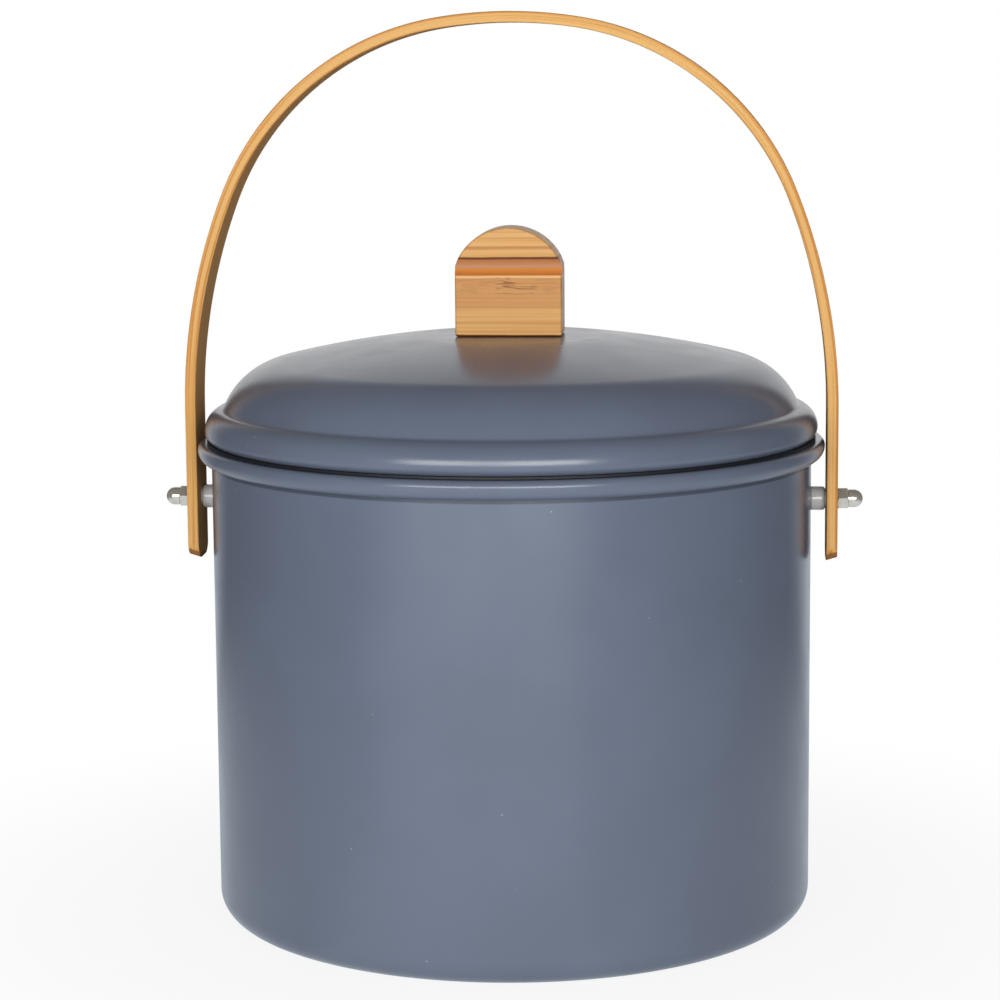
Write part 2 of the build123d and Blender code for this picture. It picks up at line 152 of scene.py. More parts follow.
def rodCutter(name, rods, sides=48):
    # Rods as (centre, radius, length, turn), joined into one cutting piece
    made = []
    for centre, radius, length, turn in rods:
        chooseNothing()
        bpy.ops.mesh.primitive_cylinder_add(
            vertices=sides, radius=radius, depth=length, location=centre, rotation=turn
        )
        made.append(bpy.context.object)
    chooseNothing()
    for rod in made:
        rod.select_set(True)
    bpy.context.view_layer.objects.active = made[0]
    if len(made) > 1:
        bpy.ops.object.join()
    made[0].name = name
    bpy.ops.object.transform_apply(location=True, rotation=True, scale=True)
    return made[0]


def otherSide(piece, name):
    # A mirrored copy on the left, with a mesh of its own
    makeActive(piece)
    bpy.ops.object.duplicate()
    copy = bpy.context.object
    copy.name = copy.data.name = name
    copy.scale = (-1, 1, 1)
    bpy.ops.object.transform_apply(location=True, rotation=True, scale=True)
    bpy.ops.object.mode_set(mode="EDIT")
    tidyMesh(28)
    return copy


def dress(piece, finish, body, slotName, *replaced):
    piece.data.materials.clear()
    piece.data.materials.append(finish)
    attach(piece, body)
    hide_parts(*replaced)


# Finish helpers
def addNode(tree, kind, sockets=None, **settings):
    made = tree.nodes.new(kind)
    for key, value in settings.items():
        setattr(made, key, value)
    for socket, value in (sockets or {}).items():
        if isinstance(value, bpy.types.NodeSocket):
            tree.links.new(value, made.inputs[socket])
        else:
            made.inputs[socket].default_value = value
    return made


def newFinish(name, roughness, **constants):
    finish = bpy.data.materials.new(name)
    finish.use_nodes = True
    shader = finish.node_tree.nodes["Principled BSDF"]
    shader.inputs["Roughness"].default_value = roughness
    for socket, value in constants.items():
        shader.inputs[socket.replace("_", " ")].default_value = value
    return finish, finish.node_tree, shader


def objectPlace(tree, scale=(1, 1, 1), offset=(0, 0, 0), source=None):
    if source is None:
        source = addNode(tree, "ShaderNodeTexCoord").outputs["Object"]
    return addNode(tree, "ShaderNodeMapping", {"Vector": source, "Scale": scale, "Location": offset}).outputs[0]


def noise(tree, place, scale, detail=2.0, rough=0.5, warp=0.0):
    sockets = {"Vector": place, "Scale": scale, "Detail": detail, "Roughness": rough, "Distortion": warp}
    return addNode(tree, "ShaderNodeTexNoise", sockets).outputs["Fac"]


def spread(tree, value, low, high, lowTo=0.0, highTo=1.0, smooth=True):
    kind = "SMOOTHSTEP" if smooth else "LINEAR"
    sockets = {"Value": value, "From Min": low, "From Max": high, "To Min": lowTo, "To Max": highTo}
    return addNode(tree, "ShaderNodeMapRange", sockets, interpolation_type=kind).outputs["Result"]


def mixColour(tree, share, first, second, mode="MIX"):
    made = addNode(tree, "ShaderNodeMix", {0: share, 6: first, 7: second}, data_type="RGBA", blend_type=mode)
    return made.outputs[2]


def sums(tree, operation, first, second):
    return addNode(tree, "ShaderNodeMath", {0: first, 1: second}, operation=operation).outputs[0]


def bumpOf(tree, height, strength, depth, under=None):
    sockets = {"Height": height, "Strength": strength, "Distance": depth}
    if under is not None:
        sockets["Normal"] = under
    return addNode(tree, "ShaderNodeBump", sockets).outputs[0]


def colour(red, green, blue):
    # From 0-255 screen values to the linear values that nodes take
    parts = [v / 255 for v in (red, green, blue)]
    return tuple(v / 12.92 if v <= 0.04045 else ((v + 0.055) / 1.055) ** 2.4 for v in parts) + (1.0,)


# Powder coat on the body and the lid
coatLook = {
    "colour": colour(94, 103, 121),
    "colourFar": colour(91, 99, 117),
    "dust": colour(150, 154, 160),
    # crease: painted shade, the tone of the dark band under the rolled rim
    "crease": colour(38, 41, 48),
    "roughness": 0.24,
    "peelScale": 700.0,
    "peelDepth": 0.00004,
}


def coatFinish(name):
    finish, tree, shader = newFinish(name, coatLook["roughness"], Specular_IOR_Level=0.5)
    place = objectPlace(tree)
    cloud = spread(tree, noise(tree, place, 16.0, 3.0), 0.35, 0.65)
    paint = mixColour(tree, cloud, coatLook["colour"], coatLook["colourFar"])
    specks = addNode(tree, "ShaderNodeTexVoronoi", {"Vector": place, "Scale": 150.0}, feature="F1")
    near = spread(tree, specks.outputs["Distance"], 0.03, 0.055, 1.0, 0.0)
    rare = spread(tree, noise(tree, place, 47.0, 1.0), 0.60, 0.64)
    paint = mixColour(tree, sums(tree, "MULTIPLY", near, rare), paint, coatLook["dust"])
    # painted shade: a dull dark band where the wall goes up behind the rolled rim, shaded by the rim
    height = addNode(tree, "ShaderNodeSeparateXYZ", {0: place}).outputs["Z"]
    line = sums(tree, "MULTIPLY", spread(tree, height, 0.1823, 0.1830, 0.0, 0.6), spread(tree, height, 0.1838, 0.1845, 1.0, 0.0))
    paint = mixColour(tree, line, paint, coatLook["crease"])
    tree.links.new(paint, shader.inputs["Base Color"])
    rough = spread(tree, noise(tree, place, 60.0, 4.0), 0.3, 0.7, coatLook["roughness"] - 0.02, coatLook["roughness"] + 0.02)
    tree.links.new(rough, shader.inputs["Roughness"])
    peel = noise(tree, place, coatLook["peelScale"], 2.0, 0.55)
    tree.links.new(bumpOf(tree, peel, 0.12, coatLook["peelDepth"]), shader.inputs["Normal"])
    return finish


# Bamboo: X of the place runs along the grain, Y across it and Z through the layers
bambooLook = {
    # light: pale grain lines on the bail, and a painted highlight under the knob's groove
    "light": colour(220, 181, 124),
    "pale": colour(207, 158, 92),
    "honey": colour(194, 139, 74),
    "amber": colour(168, 106, 52),
    "fibre": colour(126, 70, 30),
    # inner: painted shade for the bail's inner face
    "inner": colour(180, 138, 92),
    "end": colour(140, 90, 48),
    # painted shade on the knob, along the groove's top edge and at its foot
    "dark": colour(104, 54, 30),
    "orange": colour(200, 122, 54),
    # painted reflection of the lid in the upper half of the knob's groove
    "paintedReflection": colour(172, 116, 80),
}


def bambooGrain(tree, place, look, bandScale):
    # Wandering bands, fine lines and short fibres, all drawn out along the grain
    drift = noise(tree, objectPlace(tree, (14, 40, 40), source=place), 1.0, 2.0)
    shift = sums(tree, "MULTIPLY", drift, 0.0012)
    shift = addNode(tree, "ShaderNodeCombineXYZ", {1: shift, 2: shift}).outputs[0]
    wander = addNode(tree, "ShaderNodeVectorMath", {0: place, 1: shift}, operation="ADD").outputs[0]
    bands = noise(tree, objectPlace(tree, (4, 110, bandScale), source=wander), 1.0, 2.0, 0.6)
    lines = noise(tree, objectPlace(tree, (7, 600, 1100), source=wander), 1.0, 2.0, 0.5)
    hair = noise(tree, objectPlace(tree, (25, 2000, 2600), source=wander), 1.0, 2.0, 0.5)
    wood = mixColour(tree, spread(tree, bands, 0.32, 0.62), look["honey"], look["pale"])
    wood = mixColour(tree, spread(tree, bands, 0.42, 0.28, 0.0, 0.4), wood, look["amber"])
    wood = mixColour(tree, spread(tree, lines, 0.52, 0.76, 0.0, 0.5), wood, look["amber"])
    wood = mixColour(tree, spread(tree, hair, 0.58, 0.80, 0.0, 0.22), wood, look["fibre"])
    return wood, lines


def knobFinish(name):
    # Bands across the knob: a painted reflection of the lid on the groove's upper half, painted shade along its top
    # edge and at the foot, a saturated orange band on the groove's lower half and a painted highlight just under it;
    # dark fibre dashes show in the grain below the groove
    finish, tree, shader = newFinish(name, 0.4, Specular_IOR_Level=0.25)
    place = objectPlace(tree, offset=(0, 0, -0.23295))
    wood, lines = bambooGrain(tree, place, bambooLook, 420.0)
    drift = noise(tree, objectPlace(tree, (60, 60, 60), source=place), 1.0, 2.0)
    height = addNode(tree, "ShaderNodeSeparateXYZ", {0: place}).outputs["Z"]
    level = sums(tree, "ADD", height, sums(tree, "MULTIPLY", drift, 0.0007))
    for low, high, soft, tone, share in knobBands:
        rise = spread(tree, level, low - soft, low, 0.0, share)
        fall = spread(tree, level, high, high + soft, 1.0, 0.0)
        wood = mixColour(tree, sums(tree, "MULTIPLY", rise, fall), wood, bambooLook[tone])
    dashPlace = objectPlace(tree, (90, 1, 640), source=place)
    dashes = spread(tree, noise(tree, dashPlace, 1.0, 2.0, 0.6, 1.0), 0.50, 0.60, 0.0, 0.75)
    patch = spread(tree, level, 0.0165, 0.0185, 0.0, 1.0)
    patch = sums(tree, "MULTIPLY", patch, spread(tree, level, 0.0230, 0.0242, 1.0, 0.0))
    across = addNode(tree, "ShaderNodeSeparateXYZ", {0: place}).outputs["X"]
    patch = sums(tree, "MULTIPLY", patch, spread(tree, across, -0.007, -0.002, 0.25, 1.0))
    patch = sums(tree, "MULTIPLY", patch, spread(tree, across, 0.009, 0.013, 1.0, 0.2))
    wood = mixColour(tree, sums(tree, "MULTIPLY", dashes, patch), wood, bambooLook["fibre"])
    tree.links.new(wood, shader.inputs["Base Color"])
    tree.links.new(spread(tree, lines, 0.3, 0.7, 0.34, 0.46), shader.inputs["Roughness"])
    tree.links.new(bumpOf(tree, lines, 0.2, 0.0001), shader.inputs["Normal"])
    return finish


# Bands on the knob as low, high and softness above its base, tone and share
knobBands = [
    # painted reflection of the lid on the groove's upper half
    (0.0275, 0.0312, 0.0005, "paintedReflection", 0.85),
    # painted shade: a dark band along the groove's top edge
    (0.0312, 0.0319, 0.0003, "dark", 0.8),
    (0.0355, 0.0360, 0.0006, "amber", 0.7),
    (0.0130, 0.0246, 0.0030, "amber", 0.42),
    (0.0246, 0.0271, 0.0004, "orange", 0.9),
    # painted highlight: a light band just under the groove, where its lower edge catches the light
    (0.0238, 0.0243, 0.0003, "light", 0.7),
    # painted shade: a dark band at the knob's foot, where it sits on the lid
    (-0.0010, 0.0010, 0.0004, "dark", 1.0),
]


def bailFinish(name):
    finish, tree, shader = newFinish(name, 0.5, Specular_IOR_Level=0.02)
    source = addNode(tree, "ShaderNodeAttribute", attribute_name="grainPlace").outputs["Vector"]
    place = objectPlace(tree, offset=(0.31, 0.02, 0.013), source=source)
    wood, lines = bambooGrain(tree, place, bambooLook, 420.0)
    wood = mixColour(tree, spread(tree, lines, 0.56, 0.42, 0.08, 0.5), wood, bambooLook["light"])
    wood = mixColour(tree, spread(tree, lines, 0.52, 0.64, 0.0, 0.4), wood, bambooLook["amber"])
    depth = addNode(tree, "ShaderNodeSeparateXYZ", {0: source}).outputs["Z"]
    drift = noise(tree, objectPlace(tree, (9, 9, 9), source=source), 1.0, 2.0)
    wavy = sums(tree, "ADD", depth, sums(tree, "MULTIPLY", drift, 0.0009))
    seam = sums(
        tree, "MULTIPLY", spread(tree, wavy, 0.0009, 0.0012, 0.0, 0.4), spread(tree, wavy, 0.0013, 0.0017, 1.0, 0.0)
    )
    wood = mixColour(tree, seam, wood, bambooLook["orange"])
    # painted shade: a darker, browner tone on the bail's inner face, which faces the bucket
    wood = mixColour(tree, spread(tree, depth, 0.00415, 0.00438, 0.0, 0.8), wood, bambooLook["inner"])
    cut = addNode(tree, "ShaderNodeAttribute", attribute_name="endFace").outputs["Fac"]
    wood = mixColour(tree, spread(tree, cut, 0.4, 1.0, 0.0, 0.85), wood, bambooLook["end"])
    tree.links.new(wood, shader.inputs["Base Color"])
    matt = spread(tree, depth, 0.00415, 0.00438, 0.0, 0.85)
    rough = sums(tree, "MAXIMUM", spread(tree, lines, 0.3, 0.7, 0.44, 0.56), matt)
    tree.links.new(rough, shader.inputs["Roughness"])
    tree.links.new(bumpOf(tree, lines, 0.2, 0.0001), shader.inputs["Normal"])
    return finish


def foamFinish(name):
    # Open cells: a fine net of walls over hollows, which are painted near black as shade
    finish, tree, shader = newFinish(name, 0.9, Specular_IOR_Level=0.3)
    place = objectPlace(tree)
    cells = addNode(tree, "ShaderNodeTexVoronoi", {"Vector": place, "Scale": 900.0}, feature="DISTANCE_TO_EDGE")
    wall = spread(tree, cells.outputs["Distance"], 0.06, 0.28, 1.0, 0.0)
    cloud = noise(tree, place, 120.0, 3.0)
    tone = mixColour(tree, spread(tree, cloud, 0.35, 0.65), colour(46, 47, 49), colour(58, 59, 61))
    tree.links.new(mixColour(tree, wall, colour(18, 18, 19), tone), shader.inputs["Base Color"])
    tree.links.new(spread(tree, cloud, 0.3, 0.7, 0.85, 0.95), shader.inputs["Roughness"])
    tree.links.new(bumpOf(tree, wall, 0.8, 0.0004), shader.inputs["Normal"])
    return finish


def mouldedFinish(name, tone, roughness, grain=1400.0):
    # Moulded plastic or rubber with a fine spark-eroded grain
    finish, tree, shader = newFinish(name, roughness)
    place = objectPlace(tree)
    cloud = spread(tree, noise(tree, place, 30.0, 3.0), 0.3, 0.7)
    darker = tuple(0.88 * v for v in tone[:3]) + (1.0,)
    tree.links.new(mixColour(tree, cloud, darker, tone), shader.inputs["Base Color"])
    pits = noise(tree, place, grain, 2.0)
    tree.links.new(spread(tree, pits, 0.3, 0.7, roughness - 0.05, roughness + 0.05), shader.inputs["Roughness"])
    tree.links.new(bumpOf(tree, pits, 0.15, 0.00003), shader.inputs["Normal"])
    return finish


def metalFinish(name, tone, roughness, marks, metal):
    # Metal with fine turning marks round X
    finish, tree, shader = newFinish(name, roughness, Metallic=metal)
    place = objectPlace(tree)
    cloud = spread(tree, noise(tree, place, 300.0, 3.0), 0.3, 0.7)
    darker = tuple(0.86 * v for v in tone[:3]) + (1.0,)
    tree.links.new(mixColour(tree, cloud, darker, tone), shader.inputs["Base Color"])
    rings = noise(tree, objectPlace(tree, (marks, 60, 60), source=place), 1.0, 2.0)
    tree.links.new(spread(tree, rings, 0.3, 0.7, roughness * 0.7, roughness * 1.4), shader.inputs["Roughness"])
    tree.links.new(bumpOf(tree, rings, 0.05, 0.00002), shader.inputs["Normal"])
    return finish


bodyCoat = coatFinish("bodyCoat")
lidCoat = coatFinish("lidCoat")
knobBamboo = knobFinish("knobBamboo")
bailBamboo = bailFinish("bailBamboo")
polishedNut = metalFinish("polishedNut", (0.75, 0.70, 0.62, 1), 0.15, 2500.0, 0.75)
zincScrew = metalFinish("zincScrew", (0.62, 0.61, 0.59, 1), 0.28, 1800.0, 1.0)
spacerPlastic = mouldedFinish("spacerPlastic", colour(194, 194, 193), 0.12)
linerPlastic = mouldedFinish("linerPlastic", colour(150, 152, 154), 0.45)
housingPlastic = mouldedFinish("housingPlastic", colour(90, 92, 94), 0.48)
# the seal's near-black tone is partly painted shade, so that the gap between lid and rim reads dark
sealRubber = mouldedFinish("sealRubber", colour(16, 18, 26), 0.6)
filterFoam = foamFinish("filterFoam")
print("finishes made")


# Bucket body: one drawn sheet, base panel pressed up, hem rolled outwards
bucketSizes = {
    "radius": 0.120,
    "height": 0.1917,
    "sheet": 0.0008,
    "baseCorner": 0.0097,
    "foot": 0.0065,
    "panelRise": 0.0025,
    "panelSlope": 0.003,
    "hemWidth": 0.0062,
    "hemTop": 0.0025,
    "hemCorner": 0.0017,
    "hemGap": 0.0003,
    "pivotHeight": 0.1673,
    "pivotHole": 0.0027,
}


def makeBucket(s):
    sheet = s["sheet"]
    height = s["height"]
    inside = s["radius"] - sheet
    cornerX = s["radius"] - s["baseCorner"]
    slopeX = cornerX - s["foot"]
    panelX = slopeX - s["panelSlope"]
    lip = s["radius"] + s["hemGap"]
    lower = inside + s["hemWidth"] - lip
    baseCentre = (cornerX, s["baseCorner"])
    hemTopCentre = (inside + s["hemWidth"] - s["hemTop"], height - s["hemTop"])
    hemLowCentre = (lip, hemTopCentre[1])
    cornerCentre = (inside + s["hemCorner"], height - s["hemCorner"])
    steps = [
        (0, s["panelRise"]),
        (panelX, s["panelRise"]),
        (slopeX, 0),
        (baseCentre, s["baseCorner"], -90, 0, 6),
        (s["radius"], s["pivotHeight"] - 0.008),
        (s["radius"], s["pivotHeight"] + 0.008),
        (cornerCentre, s["hemCorner"] - sheet, 180, 90, 15),
        (hemTopCentre, s["hemTop"] - sheet, 90, 0, 12),
        (hemLowCentre, lower - sheet, 0, -90, 9),
        (lip, hemTopCentre[1] - lower),
        (hemLowCentre, lower, -90, 0, 5),
        (hemTopCentre, s["hemTop"], 0, 90, 7),
        (cornerCentre, s["hemCorner"], 90, 180, 10),
        (inside, s["pivotHeight"] + 0.008),
        (inside, s["pivotHeight"] - 0.008),
        (baseCentre, s["baseCorner"] - sheet, 0, -90, 6),
        (slopeX, sheet),
        (panelX, s["panelRise"] + sheet),
        (0, s["panelRise"] + sheet),
    ]
    bucket = turnPiece("bucketBody", steps)
    rod = ((0, 0, s["pivotHeight"]), s["pivotHole"], 0.3, (0, pi / 2, 0))
    carve(bucket, rodCutter("pivotHoles", [rod]))
    return bucket


bucket = makeBucket(bucketSizes)
dress(bucket, bodyCoat, "bucket", "coat", "bucket_body")
print("bucket body modelled")


# Lid: pressed dome with a shoulder, a crease and a rounded skirt
lidSizes = {
    "flangeBottom": 0.1927,
    "sheet": 0.0008,
    "skirtProud": 0.0025,
    "bead": 0.00854,
    "lowerBead": 0.0044,
    "tuckAngle": 65.0,
    "flange": 0.0046,
    "creaseAngle": 14.5,
    "crease": 0.0022,
    "sideAngle": 62.5,
    "side": 0.0024,
    "shoulder": 0.0302,
    "crown": 0.401,
    "seat": 0.038,
    "vent": 0.0015,
    "ventRows": ((0.033, 4), (0.043, 5)),
    "ventPitch": 11.0,
    "screwHole": 0.0023,
    "screwX": 0.011,
}


def lidLines(s, bucketRadius):
    tuck = s["lowerBead"] * sin(radians(s["tuckAngle"]))
    bead = (bucketRadius + s["skirtProud"] - s["bead"], s["flangeBottom"] + tuck)
    turn = radians(s["creaseAngle"])
    reach = s["bead"] + s["crease"]
    crease = (bead[0] + reach * sin(turn), bead[1] + reach * cos(turn))
    turn = radians(s["sideAngle"])
    reach = s["crease"] + s["shoulder"]
    shoulder = (
        crease[0] - s["side"] * cos(turn) - reach * sin(turn),
        crease[1] + s["side"] * sin(turn) - reach * cos(turn),
    )
    drop = sqrt((s["crown"] - s["shoulder"]) ** 2 - shoulder[0] ** 2)
    crown = (0.0, shoulder[1] - drop)
    return bead, crease, shoulder, crown


def makeLid(s, bucketRadius):
    bead, crease, shoulder, crown = lidLines(s, bucketRadius)
    sheet = s["sheet"]
    seatTop = crown[1] + sqrt(s["crown"] ** 2 - s["seat"] ** 2)
    crownEnd = 90 - degrees(asin(shoulder[0] / (s["crown"] - s["shoulder"])))
    lower = (bucketRadius + s["skirtProud"] - s["lowerBead"], bead[1])
    flangeX = lower[0] + s["lowerBead"] * cos(radians(s["tuckAngle"])) - s["flange"]

    def skin(offset, lowest):
        crownStart = degrees(asin((seatTop - offset - crown[1]) / (s["crown"] - offset)))
        return [
            (crown, s["crown"] - offset, crownStart, crownEnd, 1),
            (shoulder, s["shoulder"] - offset, crownEnd, 90 - s["sideAngle"], 3),
            (crease, s["crease"] + offset, 270 - s["sideAngle"], 270 - s["creaseAngle"], 6),
            (bead, s["bead"] - offset, 90 - s["creaseAngle"], 0, 4),
            (lower, s["lowerBead"] - offset, 0, lowest, 5),
        ]

    innerTuck = asin((bead[1] - s["flangeBottom"] - sheet) / (s["lowerBead"] - sheet))
    back = [(c, r, b, a, step) for c, r, a, b, step in reversed(skin(sheet, -degrees(innerTuck)))]
    steps = [
        (0, seatTop),
        *skin(0.0, -s["tuckAngle"]),
        (flangeX, s["flangeBottom"]),
        (flangeX, s["flangeBottom"] + sheet),
        *back,
        (0, seatTop - sheet),
    ]
    lid = turnPiece("lidShell", steps)
    rods = []
    for circle, count in s["ventRows"]:
        for index in range(count):
            turn = radians(90 + (index - (count - 1) / 2) * s["ventPitch"])
            rods.append(((circle * cos(turn), circle * sin(turn), seatTop), s["vent"], 0.01, (0, 0, 0)))
    for side in (-1, 1):
        rods.append(((side * s["screwX"], 0, seatTop), s["screwHole"], 0.01, (0, 0, 0)))
    carve(lid, rodCutter("lidHoles", rods, 32))
    return lid, seatTop


lid, seatTop = makeLid(lidSizes, bucketSizes["radius"])
dress(lid, lidCoat, "lid", "coat", "lid_shell")
print("lid modelled")


# Bail: one bent strip of laminated bamboo
bailSizes = {
    "top": 0.3606,
    "thickness": 0.0044,
    "width": 0.0224,
    "edge": 0.0007,
    "outerX": 0.1304,
    "topRadius": 0.175,
    "topAngle": 9.0,
    "sideRadius": 0.233,
    "sideAngle": 68.5,
    "tail": 0.0230,
    "slant": 17.0,
    "legCorner": 0.0065,
    "endBevel": 0.0006,
    "hole": 0.00335,
}


def bailLines(s):
    a = radians(s["topAngle"])
    b = radians(s["sideAngle"])
    reach = s["outerX"] - s["topRadius"] * sin(a) - s["sideRadius"] * (1 - sin(b))
    bend = reach / (sin(b) - sin(a))
    top = (0.0, s["top"] - s["topRadius"])
    bendCentre = (top[0] + (s["topRadius"] - bend) * sin(a), top[1] + (s["topRadius"] - bend) * cos(a))
    step = bend - s["sideRadius"]
    side = (bendCentre[0] + step * sin(b), bendCentre[1] + step * cos(b))
    return bend, top, bendCentre, side


def makeBail(s, pivotHeight):
    bend, top, bendCentre, side = bailLines(s)
    middle = s["top"] - s["thickness"] / 2
    chooseNothing()
    bpy.ops.mesh.primitive_plane_add(size=1, location=(0, 0, middle), rotation=(0, pi / 2, 0))
    bail = bpy.context.object
    bail.name = bail.data.name = "bailStrip"
    bail.scale = (s["thickness"], s["width"], 1)
    bpy.ops.object.transform_apply(location=True, rotation=True, scale=True)
    bpy.ops.object.mode_set(mode="EDIT")
    bpy.ops.mesh.select_all(action="SELECT")
    bpy.ops.mesh.bevel(offset=s["edge"], segments=4, affect="VERTICES")
    # the section is swept down one side: three tangent arcs, then the straight leg
    sweeps = [
        (top, s["topAngle"], 5),
        (bendCentre, s["sideAngle"] - s["topAngle"], 44),
        (side, 90 - s["sideAngle"], 26),
    ]
    for centre, angle, count in sweeps:
        bpy.ops.mesh.spin(
            steps=count, angle=radians(angle), center=(centre[0], 0, centre[1]), axis=(0, -1, 0)
        )
    low = pivotHeight - s["tail"]
    for height in (pivotHeight + 0.012, pivotHeight - 0.012, low - 0.004):
        ring = bmesh.from_edit_mesh(bail.data)
        now = min(v.co.z for v in ring.verts if v.select)
        bpy.ops.mesh.extrude_region_move(TRANSFORM_OT_translate={"value": (0, 0, height - now)})
    # the start face is left inside by the sweep and comes out, so that the halves can join
    mesh = bmesh.from_edit_mesh(bail.data)
    for face in mesh.faces:
        face.select = all(abs(v.co.x) < 1e-6 for v in face.verts)
    bmesh.update_edit_mesh(bail.data)
    bpy.ops.mesh.delete(type="ONLY_FACE")
    # slanted end of the leg
    bpy.ops.mesh.select_all(action="SELECT")
    slant = radians(s["slant"])
    bpy.ops.mesh.bisect(
        plane_co=(s["outerX"], 0, low),
        plane_no=(-sin(slant), 0, cos(slant)),
        use_fill=True,
        clear_inner=True,
    )
    bpy.ops.object.mode_set(mode="OBJECT")
    mirror = bail.modifiers.new("otherSide", "MIRROR")
    mirror.use_clip = True
    mirror.merge_threshold = 5e-6
    makeActive(bail)
    bpy.ops.object.modifier_apply(modifier=mirror.name)
    bpy.ops.object.mode_set(mode="EDIT")
    tidyMesh()
    # rounded leg corners, from a plate as wide as the strip that lies along each slanted end
    endInner = low - s["thickness"] * tan(slant)
    for side in (-1, 1):
        chooseNothing()
        bpy.ops.mesh.primitive_cube_add(size=1, location=(0, 0, 0.3))
        plate = bpy.context.object
        plate.scale = (0.8, s["width"] * 1.00002, 0.6)
        bpy.ops.object.transform_apply(location=True, rotation=True, scale=True)
        bpy.ops.object.mode_set(mode="EDIT")
        mesh = bmesh.from_edit_mesh(plate.data)
        for edge in mesh.edges:
            ends = [v.co for v in edge.verts]
            edge.select = max(abs(end.z) for end in ends) < 1e-5 and abs(ends[0].y - ends[1].y) < 1e-5
        bmesh.update_edit_mesh(plate.data)
        bpy.ops.mesh.bevel(offset=s["legCorner"], segments=10, affect="EDGES")
        bpy.ops.object.mode_set(mode="OBJECT")
        plate.location = (side * (s["outerX"] - s["thickness"]), 0, endInner)
        plate.rotation_euler = (0, -side * slant, 0)
        bpy.ops.object.transform_apply(location=True, rotation=True, scale=True)
        carve(bail, plate, "INTERSECT")
    soften(bail, s["endBevel"], 3, 50)
    rod = ((0, 0, pivotHeight), s["hole"], 0.4, (0, pi / 2, 0))
    carve(bail, rodCutter("bailHoles", [rod]))
    bpy.ops.object.mode_set(mode="EDIT")
    tidyMesh()
    evenNormals(bail)
    return bail


def markGrain(bail, s, pivotHeight):
    # Where each point lies along the strip, across it and in its depth, for the grain to follow
    bend, top, bendCentre, side = bailLines(s)
    topTurn = radians(s["topAngle"])
    sideTurn = radians(s["sideAngle"])
    afterTop = s["topRadius"] * topTurn
    afterBend = afterTop + bend * (sideTurn - topTurn)
    afterSide = afterBend + s["sideRadius"] * (pi / 2 - sideTurn)
    marks = bail.data.attributes
    marks.new("grainPlace", "FLOAT_VECTOR", "POINT")
    marks.new("endFace", "FLOAT", "POINT")
    grain, ends = marks["grainPlace"], marks["endFace"]
    low = pivotHeight - s["tail"]
    for index, point in enumerate(bail.data.vertices):
        x, y, z = abs(point.co.x), point.co.y, point.co.z
        if z < side[1]:
            along, depth = afterSide + side[1] - z, s["outerX"] - x
        else:
            bendAngle = atan2(x - bendCentre[0], z - bendCentre[1])
            if atan2(x, z - top[1]) < topTurn:
                along = s["topRadius"] * atan2(x, z - top[1])
                depth = s["topRadius"] - hypot(x, z - top[1])
            elif bendAngle < sideTurn:
                along = afterTop + bend * (bendAngle - topTurn)
                depth = bend - hypot(x - bendCentre[0], z - bendCentre[1])
            else:
                along = afterBend + s["sideRadius"] * (atan2(x - side[0], z - side[1]) - sideTurn)
                depth = s["sideRadius"] - hypot(x - side[0], z - side[1])
        grain.data[index].vector = (along if point.co.x >= 0 else -along, y, depth)
        aboveEnd = z - low + (s["outerX"] - x) * tan(radians(s["slant"]))
        corner = s["legCorner"]
        onCorner = aboveEnd < 0.45 * corner and hypot(abs(y) - s["width"] / 2 + corner, aboveEnd - corner) > corner - 0.0005
        ends.data[index].value = 1.0 if aboveEnd < 0.0003 or (onCorner and abs(y) > s["width"] / 2 - corner) else 0.0


bail = makeBail(bailSizes, bucketSizes["pivotHeight"])
markGrain(bail, bailSizes, bucketSizes["pivotHeight"])
dress(bail, bailBamboo, "bail", "bamboo", "bail")
print("bail modelled")


# Knob: flat bamboo block with an arched top and a finger groove across both faces
knobSizes = {
    "width": 0.0425,
    "thickness": 0.020,
    "height": 0.0432,
    "sideHeight": 0.028,
    "foot": 0.0012,
    "bevel": 0.001,
    "edge": 0.00025,
    "grooveHeight": 0.028,
    "grooveWidth": 0.007,
    "grooveDepth": 0.0023,
    "screwX": 0.011,
    "screwBore": 0.00205,
    "boreDepth": 0.0163,
}


